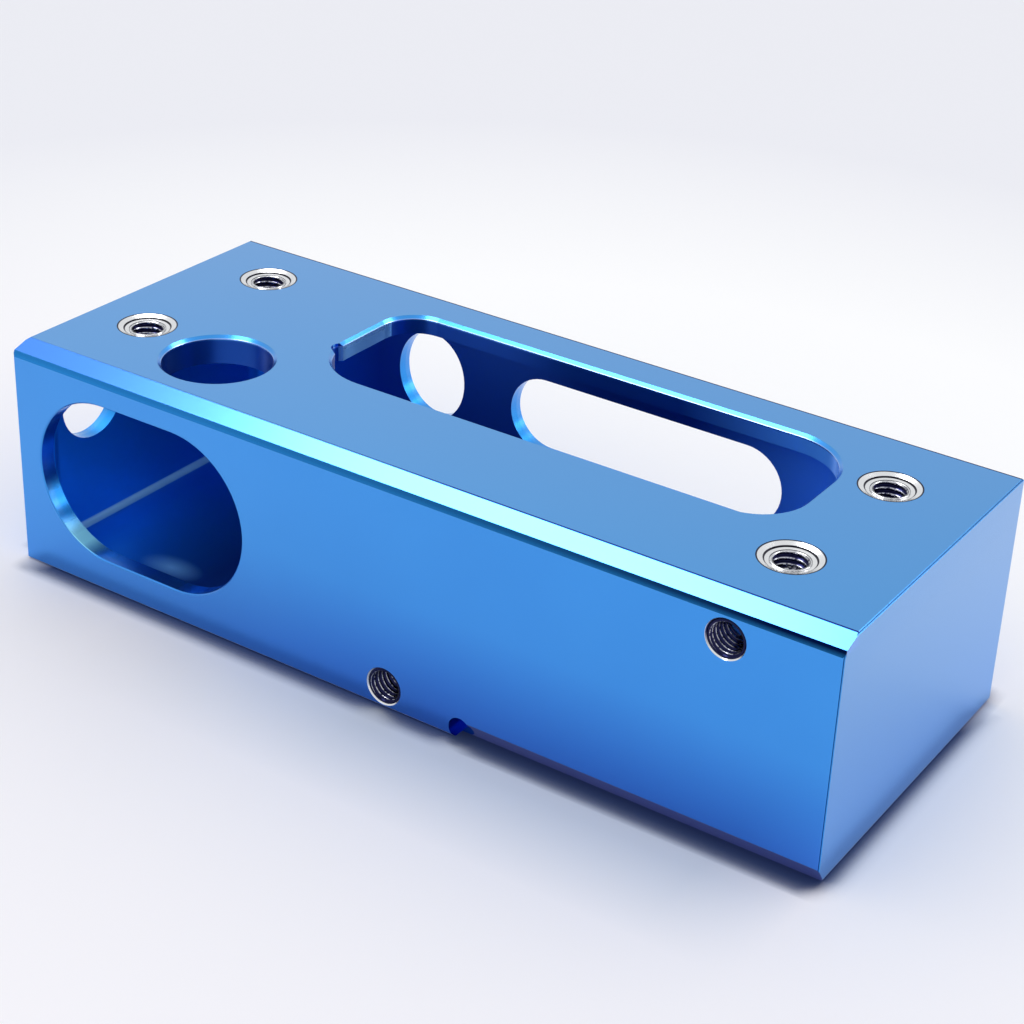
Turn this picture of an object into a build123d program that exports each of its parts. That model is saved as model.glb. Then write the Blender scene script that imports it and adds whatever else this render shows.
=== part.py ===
from build123d import *
from math import radians, tan
import os

# A hollow machined block in millimetres, lying on its flat base. The origin is the middle of the base.
# X runs along the length to the solid right end, Y from the front face to the rear face, Z up.

# The blank, and the metal left round the hollows
length = 152.0
depth = 60.0
height = 40.0
wall = 3.0              # at the front, the rear and the left end
floor = 2.5
roof = 5.0              # over the end chamber
lip = 3.2               # round the top slot

# The upper front edge is a broad, gently slanted land with a narrow steep bevel below it
land_width = 3.5
land_drop = 1.15
bevel_width = 0.5
bevel_drop = 1.0

# The other outer edges
upper_break = 0.5       # upper rear edge
edge_break = 0.3        # upright edges, and the upper edges of both ends
end_foot_round = 0.8    # lower edges of both ends
rear_foot_round = 1.5
front_foot_break = 0.4

# The end chamber, open to the front window
chamber_length = 48.5
chamber_round = 3.0
floor_round = 1.0       # where walls run into the floor

# The front window
window_length = 43.3
window_height = 28.6
window_from_left = 26.6
window_z = 20.1
rim_break = 0.2

# The round hole in the left end
end_hole_diameter = 14.3
end_hole_from_front = 14.6
end_hole_z = 25.8

# The upright oval hole and the long window in the rear wall, both in view through the top slot
rear_hole_width = 14.0
rear_hole_height = 16.4
rear_hole_from_left = 43.45
rear_hole_z = 26.3
rear_window_length = 52.9
rear_window_height = 14.0
rear_window_from_left = 86.85
rear_window_z = 25.4

# The plain bore in the roof of the end chamber
bore_diameter = 18.2
bore_from_left = 29.55
bore_from_front = 16.6
mouth_chamfer = 0.55    # round the bore and the slot

# The top slot, by the outer edge of its chamfer
slot_from_left = 41.0
slot_from_right = 22.4
slot_from_front = 23.3
slot_from_rear = 7.35
slot_front_left_round = 12.0
slot_rear_left_round = 7.0
slot_rear_right_round = 12.0
slot_front_right_round = 9.0

# A nick in the slot's left edge, where a small cutter went a little too far
nick_radius = 1.75
nick_overrun = 0.3      # beyond the left edge of the slot
nick_from_front = 9.4   # from the front edge of the slot

# The long pocket under the slot runs on below the lip, to the left and back to the rear wall
undercut = 3.3
pocket_round = 8.0

# Six M6 holes: each is drilled, and its upper part is bored to the thread's outer diameter
thread_diameter = 6.0
drill_diameter = 5.0
drill_point_angle = 118.0
top_hole_places = [(11.7, 19.5), (14.4, 47.6), (136.85, 44.7), (135.1, 16.4)]    # from the left and the front
top_thread_end = 12.0
top_drill_end = 15.0
seat_outer_diameter = 9.8
seat_inner_diameter = 7.9
seat_angle = 140.0
seat_step = 0.15
lead_angle = 160.0
front_hole_places = [(76.45, 3.8), (134.3, 34.2)]    # from the left, and above the base
front_thread_end = 6.0
front_drill_end = 10.0
front_rim_diameter = 6.6
front_rim_angle = 90.0

# The relief along the lower front edge: a slanted flat from a round plunge of the cutter to the right end
relief_from_left = 90.8  # to the middle of the plunge
relief_height = 3.2
relief_depth = 2.2
relief_cutter_radius = 1.95
relief_cutter_height = 1.75     # of the cutter's axis, above the base

left = -length / 2
right = length / 2
front = -depth / 2
rear = depth / 2

slot_left = left + slot_from_left
slot_right = right - slot_from_right
slot_front = front + slot_from_front
slot_rear = rear - slot_from_rear


def rectangle_between(low, high, rounds):
    """Draw a rectangle from its low to its high corner, with a list of rounded corners and their radii."""
    with Locations(((low[0] + high[0]) / 2, (low[1] + high[1]) / 2)):
        Rectangle(high[0] - low[0], high[1] - low[1])
    for corner, radius in rounds:
        fillet(vertices().sort_by_distance(corner)[0], radius)


def wall_opening(outside):
    """Cut the pending outline through a wall from its outside and chamfer its outer rim."""
    extrude(amount=-wall - chamber_round, mode=Mode.SUBTRACT)
    rim = edges(Select.LAST).group_by(Axis(outside.origin, outside.z_dir))[-1]
    chamfer(rim, rim_break)


def roof_opening(thickness):
    """Cut the pending outline down through the roof and chamfer its upper rim."""
    extrude(amount=-thickness, mode=Mode.SUBTRACT)
    chamfer(edges(Select.LAST).group_by(Axis.Z)[-1], mouth_chamfer)


def cone_depth(outer_diameter, inner_diameter, angle):
    """How deep a cone of this full angle goes from one diameter to a smaller one."""
    return (outer_diameter - inner_diameter) / 2 / tan(radians(angle / 2))


def tapped_hole(mouth, outward, lead, thread_end, drill_end):
    """Cut a tapped hole: its lead-in as radii and depths, the thread's wall, the drilled end and its point."""
    profile = [
        (0, 0),
        *lead,
        (thread_diameter / 2, thread_end),
        (drill_diameter / 2, thread_end),
        (drill_diameter / 2, drill_end),
        (0, drill_end + cone_depth(drill_diameter, 0, drill_point_angle)),
    ]
    across = Vector(1, 0, 0)
    with BuildSketch(Plane(origin=mouth, x_dir=across, z_dir=across.cross(Vector(outward)))) as half:
        with BuildLine():
            Polyline([(radius, -down) for radius, down in profile], close=True)
        make_face()
    revolve(half.sketch, axis=Axis(mouth, outward), mode=Mode.SUBTRACT)


with BuildPart() as end_chamber:
    with BuildSketch(Plane.XY.offset(floor)):
        with Locations((left + wall + chamber_length / 2, 0)):
            RectangleRounded(chamber_length, depth - 2 * wall, chamber_round)
    extrude(amount=height - floor - roof)
    fillet(edges().group_by(Axis.Z)[0], floor_round)

with BuildPart() as long_pocket:
    pocket_low = (slot_left - undercut, slot_front + mouth_chamfer)
    pocket_high = (slot_right - mouth_chamfer, rear - wall)
    with BuildSketch(Plane.XY.offset(floor)):
        rectangle_between(
            pocket_low,
            pocket_high,
            [
                (pocket_low, pocket_round),
                ((pocket_low[0], pocket_high[1]), pocket_round),
                (pocket_high, pocket_round),
                ((pocket_high[0], pocket_low[1]), slot_front_right_round - mouth_chamfer),
            ],
        )
    extrude(amount=height - floor - lip)
    fillet(edges().group_by(Axis.Z)[0], floor_round)

with BuildPart() as block:
    # The blank is what its outlines from the end, from the front and from above have in common
    with BuildSketch(Plane.YZ):
        with BuildLine():
            Polyline(
                (front, 0),
                (front, height - land_drop - bevel_drop),
                (front + bevel_width, height - land_drop),
                (front + bevel_width + land_width, height),
                (rear, height),
                (rear, 0),
                close=True,
            )
        make_face()
        fillet(vertices().sort_by_distance((rear, 0))[0], rear_foot_round)
        chamfer(vertices().sort_by_distance((front, 0))[0], front_foot_break)
        chamfer(vertices().sort_by_distance((rear, height))[0], upper_break)
    extrude(amount=length / 2, both=True)
    with BuildSketch(Plane.XZ):
        with Locations((0, height / 2)):
            Rectangle(length, height)
        fillet(vertices().group_by(Axis.Y)[0], end_foot_round)
        chamfer(vertices().group_by(Axis.Y)[-1], edge_break)
    extrude(amount=depth / 2, both=True, mode=Mode.INTERSECT)
    with BuildSketch():
        Rectangle(length, depth)
        chamfer(vertices(), edge_break)
    extrude(amount=height, mode=Mode.INTERSECT)

    # The two hollows overlap, so that light from the slot reaches the front window
    add(end_chamber.part, mode=Mode.SUBTRACT)
    add(long_pocket.part, mode=Mode.SUBTRACT)

    # The openings in the three thin walls
    front_side = Plane(origin=(left + window_from_left, front, window_z), x_dir=(1, 0, 0), z_dir=(0, -1, 0))
    with BuildSketch(front_side):
        SlotOverall(window_length, window_height)
    wall_opening(front_side)
    left_side = Plane(origin=(left, front + end_hole_from_front, end_hole_z), x_dir=(0, 1, 0), z_dir=(-1, 0, 0))
    with BuildSketch(left_side):
        Circle(end_hole_diameter / 2)
    wall_opening(left_side)
    rear_side = Plane(origin=(left + rear_hole_from_left, rear, rear_hole_z), x_dir=(1, 0, 0), z_dir=(0, 1, 0))
    with BuildSketch(rear_side):
        Ellipse(rear_hole_width / 2, rear_hole_height / 2)
    wall_opening(rear_side)
    rear_side = Plane(origin=(left + rear_window_from_left, rear, rear_window_z), x_dir=(1, 0, 0), z_dir=(0, 1, 0))
    with BuildSketch(rear_side):
        SlotOverall(rear_window_length, rear_window_height)
    wall_opening(rear_side)

    # The bore and the slot in the top
    with BuildSketch(Plane.XY.offset(height)):
        with Locations((left + bore_from_left, front + bore_from_front)):
            Circle(bore_diameter / 2)
    roof_opening(roof)
    slot_low = (slot_left + mouth_chamfer, slot_front + mouth_chamfer)
    slot_high = (slot_right - mouth_chamfer, slot_rear - mouth_chamfer)
    with BuildSketch(Plane.XY.offset(height)):
        rectangle_between(
            slot_low,
            slot_high,
            [
                (slot_low, slot_front_left_round - mouth_chamfer),
                ((slot_low[0], slot_high[1]), slot_rear_left_round - mouth_chamfer),
                (slot_high, slot_rear_right_round - mouth_chamfer),
                ((slot_high[0], slot_low[1]), slot_front_right_round - mouth_chamfer),
            ],
        )
    roof_opening(lip)

    with BuildSketch(Plane.XY.offset(height)):
        with Locations((slot_left - nick_overrun + nick_radius, slot_front + nick_from_front)):
            Circle(nick_radius)
    extrude(amount=-lip, mode=Mode.SUBTRACT)

    # The tapped holes in the top, each with a shallow seat, a small step and a lead-in
    seat_end = cone_depth(seat_outer_diameter, seat_inner_diameter, seat_angle)
    step_end = seat_end + seat_step
    top_lead = [
        (seat_outer_diameter / 2, 0),
        (seat_inner_diameter / 2, seat_end),
        (seat_inner_diameter / 2, step_end),
        (thread_diameter / 2, step_end + cone_depth(seat_inner_diameter, thread_diameter, lead_angle)),
    ]
    for from_left, from_front in top_hole_places:
        mouth = (left + from_left, front + from_front, height)
        tapped_hole(mouth, (0, 0, 1), top_lead, top_thread_end, top_drill_end)

    # The tapped holes in the front, with only a light countersink
    front_lead = [
        (front_rim_diameter / 2, 0),
        (thread_diameter / 2, cone_depth(front_rim_diameter, thread_diameter, front_rim_angle)),
    ]
    for from_left, above_base in front_hole_places:
        mouth = (left + from_left, front, above_base)
        tapped_hole(mouth, (0, -1, 0), front_lead, front_thread_end, front_drill_end)

    # The relief starts where the cutter plunged in from the front, as deep as its flat reaches at the base
    relief_start = Vector(left + relief_from_left, front, relief_cutter_height)
    with BuildSketch(Plane(origin=relief_start, x_dir=(1, 0, 0), z_dir=(0, -1, 0))):
        Circle(relief_cutter_radius)
    extrude(amount=-relief_depth, mode=Mode.SUBTRACT)
    with BuildSketch(Plane.YZ.offset(relief_start.X)):
        with BuildLine():
            Polyline((front, 0), (front, relief_height), (front + relief_depth, 0), close=True)
        make_face()
    extrude(amount=right - relief_start.X, mode=Mode.SUBTRACT)

block.part.label = "block"
os.makedirs("parts", exist_ok=True)
export_step(block.part, "parts/block.step")
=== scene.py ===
from math import pi

import bpy
import numpy as np
from mathutils import Matrix, Vector


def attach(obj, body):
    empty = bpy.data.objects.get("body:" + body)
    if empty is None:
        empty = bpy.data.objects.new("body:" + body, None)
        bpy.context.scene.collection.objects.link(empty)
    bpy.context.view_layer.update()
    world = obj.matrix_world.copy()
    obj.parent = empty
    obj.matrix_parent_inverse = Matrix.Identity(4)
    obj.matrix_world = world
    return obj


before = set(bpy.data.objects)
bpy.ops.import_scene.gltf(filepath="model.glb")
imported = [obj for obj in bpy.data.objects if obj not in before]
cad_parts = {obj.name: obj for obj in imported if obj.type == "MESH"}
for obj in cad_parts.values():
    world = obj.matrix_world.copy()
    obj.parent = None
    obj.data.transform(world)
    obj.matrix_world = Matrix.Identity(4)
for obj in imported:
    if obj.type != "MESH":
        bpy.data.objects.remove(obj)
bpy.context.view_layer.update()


# The block itself: one piece of aluminium, milled all over and blasted fine before it was anodised
# and dyed blue. The screw holes were cut after that, so their seats and threads are bare metal.

class Wire:
    """A socket in a material's node tree. Sums, differences and products of wires add Math nodes."""

    def __init__(self, tree, socket=None):
        self.tree = tree
        self.socket = socket

    def add(self, kind, settings, values, output=0):
        """One node of the tree: its settings are set first, then its sockets get values or wires."""
        node = self.tree.nodes.new(kind)
        for name, setting in settings.items():
            setattr(node, name, setting)
        for name, value in values.items():
            if isinstance(value, Wire):
                self.tree.links.new(value.socket, node.inputs[name])
            else:
                node.inputs[name].default_value = value
        return Wire(self.tree, node.outputs[output] if node.outputs else None)

    def math(self, operation, *operands):
        """A Math node on one, two or three numbers or wires."""
        return self.add("ShaderNodeMath", {"operation": operation}, dict(enumerate(operands)))

    def __add__(self, other):
        return self.math("ADD", self, other)

    __radd__ = __add__

    def __sub__(self, other):
        return self.math("SUBTRACT", self, other)

    def __rsub__(self, other):
        return self.math("SUBTRACT", other, self)

    def __mul__(self, other):
        return self.math("MULTIPLY", self, other)

    __rmul__ = __mul__

    def lowest(self, other):
        return self.math("MINIMUM", self, other)

    def highest(self, other):
        return self.math("MAXIMUM", self, other)

    def size(self):
        """The number without its sign."""
        return self.math("ABSOLUTE", self)

    def under(self, limit, softness):
        """1 well below the limit and 0 above it, with a straight slope as wide as the softness."""
        return self.add(
            "ShaderNodeMapRange",
            {"clamp": True},
            {
                "Value": self,
                "From Min": limit - softness,
                "From Max": limit,
                "To Min": 1.0,
                "To Max": 0.0,
            },
        )

    def blend(self, first, second):
        """A colour that goes from the first at 0 to the second at 1."""
        return self.add(
            "ShaderNodeMix", {"data_type": "RGBA"}, {"Factor": self, 6: first, 7: second}, output=2
        )

    def distance(self, point):
        """How far this wire's vector is from a fixed point."""
        return self.add(
            "ShaderNodeVectorMath", {"operation": "DISTANCE"}, {0: self, 1: point}, output="Value"
        )


def new_material(name):
    """An empty material, with a wire to start its nodes from."""
    material = bpy.data.materials.new(name)
    material.use_nodes = True
    material.node_tree.nodes.clear()
    return material, Wire(material.node_tree)


# In mm, like every place in the block's material
top_holes = [(-64.3, -10.5), (-61.6, 17.6), (60.85, 14.7), (59.1, -13.6)]    # x and y
front_holes = [(0.45, 3.8), (58.3, 34.2)]    # x and z
block_end = 76.0
block_top = 40.0
block_front = -30.0
seat_radius = 4.9
seat_bottom = 38.9
thread_radius = 3.0
top_thread_bottom = 28.0
front_rim_radius = 3.3
front_thread_end = -24.0
wall = 3.0
slot_left = -34.6
relief_start = 14.8    # x of the middle of the cutter's plunge
cutter_height = 1.75   # z of the same


def places_on(tree):
    """The place on the piece in mm, as a whole and split into x, y and z."""
    place = tree.add("ShaderNodeTexCoord", {}, {}, output="Object")
    in_mm = tree.add("ShaderNodeVectorMath", {"operation": "SCALE"}, {0: place, "Scale": 1000.0})
    split = tree.add("ShaderNodeSeparateXYZ", {}, {0: in_mm}).socket.node.outputs
    return in_mm, Wire(tree.tree, split["X"]), Wire(tree.tree, split["Y"]), Wire(tree.tree, split["Z"])


def nearest(first, second, centres):
    """The distance, seen along an axis, to the nearest of some centres: the lowest of those to each."""
    flat = first.add("ShaderNodeCombineXYZ", {}, {"X": first, "Y": second})
    found = flat.distance((*centres[0], 0.0))
    for centre in centres[1:]:
        found = found.lowest(flat.distance((*centre, 0.0)))
    return found


anodised, tree = new_material("blue_anodised_aluminium")
in_mm, x, y, z = places_on(tree)
from_top_hole = nearest(x, y, top_holes)
from_front_hole = nearest(x, z, front_holes)
below_top = block_top - z
from_end = block_end - x.size()
from_side = -block_front - y.size()

# Bare metal: the seats, and the walls of the tapped holes down to the thread's end
seats = from_top_hole.under(seat_radius - 0.03, 0.02)
seats = seats * below_top.under(block_top - seat_bottom, 0.02)
top_walls = from_top_hole.under(thread_radius + 0.2, 0.02)
top_walls = top_walls * below_top.under(block_top - top_thread_bottom, 0.1)
front_walls = from_front_hole.under(front_rim_radius - 0.02, 0.02) * y.under(front_thread_end, 0.1)
bare = seats.highest(top_walls).highest(front_walls)

# The hollows, past the walls' thickness, and the relief under the front edge, below its slanted flat
skin = from_end.lowest(from_side)
slot_end = (x - slot_left).size().under(0.4, 0.1)
inside = (1.0 - skin.under(wall - 0.02, 0.08)) * (1.0 - below_top.under(0.9, 0.4)) * (1.0 - slot_end)
plunge = nearest(x, z, [(relief_start, cutter_height)]).under(2.0, 0.04) * y.under(-27.7, 0.05)
flat = (z + (y - block_front) * 1.4545).under(3.26, 0.04) * (1.0 - x.under(relief_start, 0.1))
relief = flat.highest(plunge) * (1.0 - y.under(block_front + 0.03, 0.02))
corner = x.under(-71.9, 0.3) * z.under(3.6, 0.3) * inside

# The blue of the dye is faintly uneven. The broader changes are painted from the photograph's light,
# and the dye itself may not have them: deeper towards the foot of the sides, and a little greyer on
# the right end and on the top.
grain = tree.add(
    "ShaderNodeTexNoise", {}, {"Vector": in_mm, "Scale": 2.6, "Detail": 3.0, "Roughness": 0.6}
)
cloud = tree.add("ShaderNodeTexNoise", {}, {"Vector": in_mm, "Scale": 0.05, "Detail": 2.0})
blue = (grain * 0.25 + cloud * 0.75).blend((0.020, 0.280, 0.80, 1), (0.030, 0.325, 0.87, 1))
rightward = 1.0 - x.under(10.0, 80.0)
end_face = 1.0 - x.under(75.95, 0.05)
foot = z.under(20.0, 20.0) * (rightward * 0.75 + 0.18) * (1.0 - end_face)
blue = foot.blend(blue, (0.006, 0.140, 0.66, 1))
end_foot = z.under(32.0, 30.0) * end_face
blue = end_face.blend(blue, (0.030, 0.310, 0.76, 1))
blue = end_foot.blend(blue, (0.002, 0.30, 0.82, 1))
blue = (below_top.under(0.1, 0.05) * 0.8).blend(blue, (0.026, 0.300, 0.73, 1))

# Painted like the light that reaches the hollows in the photograph: the chamber at the left and the
# pocket's right end are lighter
left_part = x.under(-44.0, 22.0) * z.under(34.0, 6.0)
right_part = 1.0 - x.under(46.0, 26.0)
hollow = left_part.blend((0.003, 0.060, 0.36, 1), (0.006, 0.26, 0.90, 1))
hollow = right_part.blend(hollow, (0.09, 0.38, 1.0, 1))
blue = inside.blend(blue, hollow)

# Painted after bright places in the photograph that are most likely glints: on the window's lip, on
# the chamber's floor, in the slot's left wall, and along the round corner between the chamber's
# floor and left wall. The relief is painted darker, after its shade there.
lip_patch = nearest(x, z, [(-63.7, 7.5)]).under(4.8, 3.8)
lip_patch = lip_patch * y.under(-26.9, 0.1) * (1.0 - y.under(-29.9, 0.05))
blue = lip_patch.blend(blue, (0.26, 0.74, 1.0, 1))
# A pool of painted light on the chamber's floor, below the bore.
floor_light_pool = nearest(x * 0.55, y, [(-28.3, -20.8)]).under(3.6, 3.6) * z.under(2.6, 0.05)
blue = floor_light_pool.blend(blue, (0.20, 0.55, 1.0, 1))
slot_wall = slot_end * (1.0 - skin.under(5.0, 0.5))
slot_wall = slot_wall * below_top.under(3.5, 0.2) * (1.0 - below_top.under(0.56, 0.04))
blue = slot_wall.blend(blue, (0.18, 0.50, 1.0, 1))
blue = relief.blend(blue, (0.002, 0.075, 0.50, 1))
blue = corner.blend(blue, (0.24, 0.60, 1.0, 1))

# Painted after the photograph too: the land along the front edge, lighter towards the right, the
# steep bevel below it, darker, and the dark lines along the sharp edges.
bevel = y.under(-29.45, 0.04) * below_top.under(2.13, 0.04)
land = y.under(-26.0, 0.05) * below_top.under(2.0, 0.1) * (1.0 - bevel)
land_blue = x.under(-20.0, 40.0).blend((0.046, 0.310, 0.86, 1), (0.020, 0.205, 0.76, 1))
blue = land.blend(blue, land_blue)
deeper = 1.0 - x.under(65.0, 110.0)
land_line = (y + 25.98).size().under(0.20, 0.06) * below_top.under(0.2, 0.1)
second = from_end.lowest(from_side).highest(from_end.highest(from_side).lowest(below_top))
rear_line = (1.0 - y.under(29.25, 0.05)) * below_top.under(0.1, 0.05)
edges = second.under(0.22, 0.04)
# One mask for the painted dark lines along the sharp edges and the bevel's painted shade.
painted_dark_edges = bevel * (deeper * deeper * 0.8 + 0.2) * below_top.under(2.2, 0.7)
painted_dark_edges = painted_dark_edges.highest(land_line * (rightward * 0.85 + 0.15)).highest(edges * 0.9).highest(rear_line)
blue = painted_dark_edges.blend(blue, (0.001, 0.016, 0.13, 1))

# A fine pale line painted where a mouth meets its wall
mouth = (below_top - 0.56).size().under(0.12, 0.05) * (1.0 - skin.under(5.0, 0.5))
blue = (mouth * 0.7).blend(blue, (0.34, 0.50, 0.95, 1))

# Rings across a seat: its bright cone, with a painted dark outline at the edge of the cut and a
# painted shadow of the step. The walls of the front holes are painted dark with shade, but bright at
# the rims and low down.
step = (from_top_hole - 3.86).size().under(0.16, 0.06)
outline = (from_top_hole - 4.92).size().under(0.15, 0.05) * below_top.under(0.4, 0.1)
metal = step.blend((0.84, 0.85, 0.87, 1), (0.04, 0.04, 0.06, 1))
rim = (from_front_hole - 3.3).size().under(0.09, 0.04).highest(z.under(34.2, 2.5) * front_walls)
metal = (front_walls * (1.0 - rim)).blend(metal, (0.03, 0.04, 0.12, 1))
colour = bare.blend(blue, metal)
colour = outline.blend(colour, (0.008, 0.016, 0.05, 1))

# The clear oxide over the dye shines like a coat outside. In the hollows, on bare metal and on the
# painted dark lines it doesn't, and the painted pale places are less metallic.
outer = skin.lowest(below_top).under(1.5, 0.3)
uncoated = bare.highest(inside).highest(painted_dark_edges).highest(outline).highest(relief)
uncoated = uncoated.highest(bevel * 0.9).highest(lip_patch)
coat = (outer * 0.7 + 0.2) * (1.0 - uncoated) * (1.0 - end_foot * 0.25)
less_metallic = inside * (right_part * 0.3 + 0.25) + corner * 0.6 + floor_light_pool * 0.3
less_metallic = less_metallic + lip_patch * 0.85 + slot_wall * 0.3
bump = tree.add(
    "ShaderNodeBump", {}, {"Strength": 0.12, "Distance": 0.00002, "Height": grain * (1.0 - bare)}
)
surface = tree.add(
    "ShaderNodeBsdfPrincipled",
    {},
    {
        "Base Color": colour,
        "Metallic": 1.0 - less_metallic,
        "Roughness": 0.24 - bare * 0.08 + grain * 0.04 + inside * 0.06 + corner * 0.14,
        "Coat Weight": coat,
        "Coat Roughness": 0.22,
        "Coat IOR": 1.5,
        "Normal": bump,
    },
)
tree.add("ShaderNodeOutputMaterial", {}, {"Surface": surface})

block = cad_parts["block"]
block.data.materials.clear()
block.data.materials.append(anodised)


# The threads: a right-hand M6 thread of 1 mm pitch is cut into the wall of each hole with a tap.
# Each is a thin bright sleeve here, ridged on its inside, with its back sunk into the wall.

bright, tree = new_material("bare_tapped_aluminium")
in_mm, x, y, z = places_on(tree)
from_axis = nearest(x, y, top_holes).lowest(nearest(x, z, front_holes))
scuffs = tree.add("ShaderNodeTexNoise", {}, {"Vector": in_mm, "Scale": 2.4, "Detail": 3.0})
# Painted shade darkens the grooves between the crests, and painted light brightens the first turns
# below the mouths of the top holes.
crests = from_axis.under(2.66, 0.09) * scuffs.under(0.62, 0.16)
lit_first_turns = (block_top - z + scuffs * 0.9).under(1.35, 0.4)
colour = crests.blend((0.014, 0.016, 0.060, 1), (0.62, 0.63, 0.70, 1))
colour = lit_first_turns.blend(colour, scuffs.blend((0.55, 0.56, 0.60, 1), (0.86, 0.87, 0.89, 1)))
surface = tree.add(
    "ShaderNodeBsdfPrincipled",
    {},
    {
        "Base Color": colour,
        "Metallic": 1.0,
        "Roughness": 0.12 + scuffs * 0.14,
    },
)
tree.add("ShaderNodeOutputMaterial", {}, {"Surface": surface})


def thread_sleeve(
    name, mouth, inward, depth, pitch=0.001, root=0.00296, crest=0.00252, back=0.00306
):
    """A tube whose inner radius is the root less a ridge, root - (root - crest) * peak(turn).

    The turn is the depth over the pitch less the angle over a full circle, and peak rises and falls
    in straight lines, with a narrow flat crest, once a turn. The mouth is a ring of its own, a little
    over half as high. The outer wall and the two end rings close the tube.
    """
    around = 72
    rows = int(round(depth / pitch * 14)) + 1
    angle = np.linspace(0, 2 * pi, around, endpoint=False)
    down = np.linspace(0, depth, rows)
    turn = (down[:, None] / pitch - angle[None, :] / (2 * pi)) % 1.0
    peak = np.clip(1.35 * (1 - np.abs(2 * turn - 1)) - 0.12, 0, 1)
    mouth_ring = np.clip(1 - down / (0.35 * pitch), 0, 1)[:, None] * 0.6
    ridge = np.maximum(peak, mouth_ring)
    outside = np.full((2, around), back)
    radius = np.vstack([root - (root - crest) * ridge, outside])
    down = np.append(down, [depth, 0.0])
    axis = Vector(inward)
    side = Vector((1, 0, 0))
    other = axis.cross(side)
    points = (
        np.array(mouth)[None, None, :]
        + down[:, None, None] * np.array(axis)
        + (radius * np.cos(angle))[:, :, None] * np.array(side)
        + (radius * np.sin(angle))[:, :, None] * np.array(other)
    )
    row = np.arange(rows + 2)[:, None]
    step = np.arange(around)[None, :]
    here = row * around + step
    right = row * around + (step + 1) % around
    below = ((row + 1) % (rows + 2)) * around + step
    below_right = ((row + 1) % (rows + 2)) * around + (step + 1) % around
    quads = np.stack([here, right, below_right, below], axis=-1).reshape(-1, 4)
    mesh = bpy.data.meshes.new(name)
    mesh.from_pydata(points.reshape(-1, 3).tolist(), [], quads.tolist())
    mesh.polygons.foreach_set("use_smooth", np.ones(len(quads), bool))
    mesh.update()
    mesh.materials.append(bright)
    sleeve = bpy.data.objects.new(name, mesh)
    bpy.context.scene.collection.objects.link(sleeve)
    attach(sleeve, "root")
    return sleeve


top_thread_start = 0.52
for number, ((across, along), depth) in enumerate(zip(top_holes, [4.44, 4.44, 11.38, 11.38])):
    mouth = (across / 1000, along / 1000, (block_top - top_thread_start) / 1000)
    thread_sleeve(f"top_thread_{number + 1}", mouth, (0, 0, -1), depth / 1000)
front_thread_start = 0.2
for number, (across, up) in enumerate(front_holes):
    mouth = (across / 1000, (block_front + front_thread_start) / 1000, up / 1000)
    thread_sleeve(f"front_thread_{number + 1}", mouth, (0, 1, 0), 0.0057)


# The floor: a wide pale board that the block lies on, faintly lavender and only slightly glossy.
# Its shade is painted into its colour: darkest right under the block's lower edges, where little
# light gets in, and a little greyer in front of them. The block mirrors it paler than it is there.

paper, tree = new_material("pale_floor")
in_mm, x, y, z = places_on(tree)
beside = 1.0 - x.under(block_end + 2.0, 4.0)
bare_corner = x.under(-70.0, 7.0) * y.under(-24.0, 4.0)
bare_corner = bare_corner.highest(beside * (1.0 - y.under(27.0, 9.0)))
open_air = tree.add("ShaderNodeAmbientOcclusion", {"samples": 8}, {"Distance": 0.0045}, output="AO")
lit = open_air.math("POWER", open_air, 4.5 - beside * 2.1 + (1.0 - beside) * 0.8)
lit = tree.add(
    "ShaderNodeMapRange",
    {"clamp": True, "interpolation_type": "SMOOTHSTEP"},
    {"Value": lit, "From Max": 0.9},
)
rays = tree.add("ShaderNodeLightPath", {}, {}).socket.node.outputs
before = y.under(block_front + 0.5, 0.5)
tucked = (1.0 - x.under(relief_start, 2.0)) * (1.0 - y.under(-37.0, 3.0)) * before
mirrored = Wire(tree.tree, rays["Is Glossy Ray"]) * (1.0 - tucked) * 0.55
lit = lit.highest(bare_corner).highest(mirrored)
from_block = nearest(x, y, [(0.0, 0.0)])
behind = (1.0 - y.under(110.0, 110.0)) * Wire(tree.tree, rays["Is Camera Ray"])
pale = behind.blend((0.92, 0.90, 0.94, 1), (0.98, 0.975, 0.985, 1))
pale = (1.0 - from_block.under(260.0, 110.0)).blend(pale, (0.83, 0.83, 0.885, 1))
in_front = before * (1.0 - y.under(-36.0, 18.0)) * (1.0 - x.under(0.0, 50.0)) * x.under(76.2, 16.0)
pale = (in_front * 0.9).blend(pale, (0.67, 0.71, 0.78, 1))
surface = tree.add(
    "ShaderNodeBsdfPrincipled",
    {},
    {
        "Base Color": lit.blend((0.042, 0.066, 0.16, 1), pale),
        "Roughness": 0.5,
        "Specular IOR Level": 0.1,
    },
)
tree.add("ShaderNodeOutputMaterial", {}, {"Surface": surface})
reach = 3.0
corners = [(-reach, -reach, 0), (reach, -reach, 0), (reach, reach, 0), (-reach, reach, 0)]
mesh = bpy.data.meshes.new("floor")
mesh.from_pydata(corners, [], [(0, 1, 2, 3)])
mesh.materials.append(paper)
board = bpy.data.objects.new("floor", mesh)
bpy.context.scene.collection.objects.link(board)


# The studio: a white room, which the block mirrors dimly and more dimly still from the front left,
# and three soft lamps above and behind it that only its mirrored light shows, not its plain light.
# The camera looks down from the front right, as in the photograph.

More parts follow.
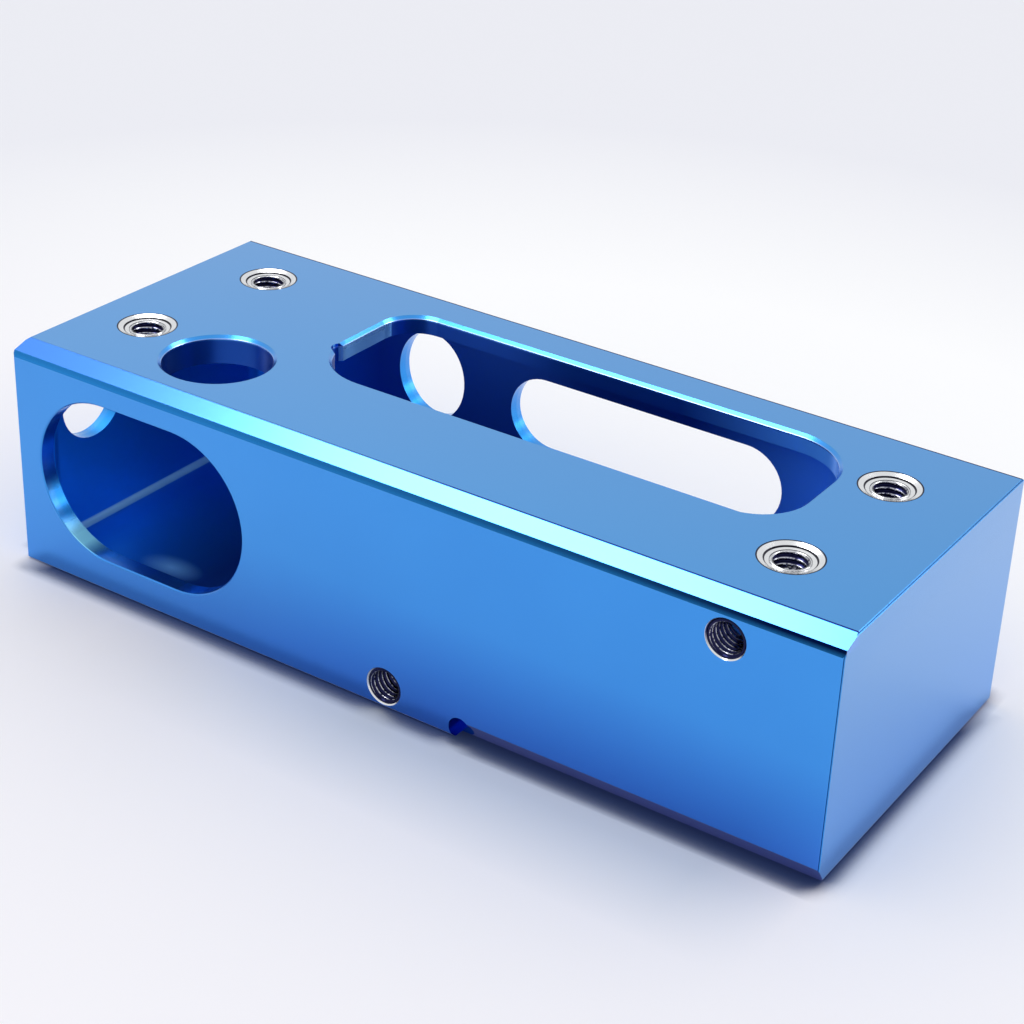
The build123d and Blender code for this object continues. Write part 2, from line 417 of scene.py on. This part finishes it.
world = bpy.data.worlds.new("white_room")
bpy.context.scene.world = world
world.use_nodes = True
world.node_tree.nodes.clear()
tree = Wire(world.node_tree)
rays = tree.add("ShaderNodeLightPath", {}, {})
camera_ray = Wire(tree.tree, rays.socket.node.outputs["Is Camera Ray"])
clear_ray = Wire(tree.tree, rays.socket.node.outputs["Is Transmission Ray"])
diffuse_ray = Wire(tree.tree, rays.socket.node.outputs["Is Diffuse Ray"])
towards = tree.add("ShaderNodeTexCoord", {}, {}, output="Generated")
bright_side = 1.0 - towards.distance((-0.31, -0.875, 0.37)).under(0.42, 0.37)
mirrored = bright_side * 0.75 + 0.08
strength = camera_ray.highest(clear_ray).highest(diffuse_ray * 1.05).highest(mirrored)
room = tree.add("ShaderNodeBackground", {}, {"Color": (0.975, 0.985, 0.99, 1), "Strength": strength})
tree.add("ShaderNodeOutputWorld", {}, {"Surface": room})


def lamp(name, towards, distance, size, strength, aim=(0.0, 0.0, 0.02)):
    """A rectangular lamp in a direction from the aim, turned to face it."""
    light = bpy.data.lights.new(name, "AREA")
    light.shape = "RECTANGLE"
    light.size, light.size_y = size
    light.energy = strength * pi * size[0] * size[1]
    holder = bpy.data.objects.new(name, light)
    direction = Vector(towards).normalized()
    holder.location = Vector(aim) + direction * distance
    holder.rotation_euler = direction.to_track_quat("Z", "Y").to_euler()
    holder.visible_diffuse = False
    bpy.context.scene.collection.objects.link(holder)


lamp("left_softbox", (-0.40, -0.05, 0.91), 0.8, (0.85, 0.34), 6.5)
lamp("back_softbox", (0.74, 0.60, 0.30), 0.9, (0.34, 0.26), 4.0)
lamp("small_softbox", (0.39, 0.56, 0.73), 0.8, (0.22, 0.22), 8.0)

camera = bpy.data.cameras.new("camera")
camera.sensor_width = 36.0
camera.lens = 78.27
camera.shift_x = -43 / 1024
camera.shift_y = -42 / 1024
camera.clip_start, camera.clip_end = 0.01, 20.0
viewer = bpy.data.objects.new("camera", camera)
azimuth, elevation, roll = -0.559149, -0.477304, 0.050365    # in radians
ahead = Vector(
    (np.sin(azimuth) * np.cos(elevation), np.cos(azimuth) * np.cos(elevation), np.sin(elevation))
)
sideways = ahead.cross(Vector((0, 0, 1))).normalized()
upright = sideways.cross(ahead)
to_right = np.cos(roll) * sideways + np.sin(roll) * upright
upward = -np.sin(roll) * sideways + np.cos(roll) * upright
pose = Matrix((to_right, upward, -ahead)).transposed().to_4x4()
pose.translation = Vector((0.174984, -0.262234, 0.192616))
viewer.matrix_world = pose
bpy.context.scene.collection.objects.link(viewer)
bpy.context.scene.camera = viewer
bpy.context.scene.view_settings.view_transform = "Standard"
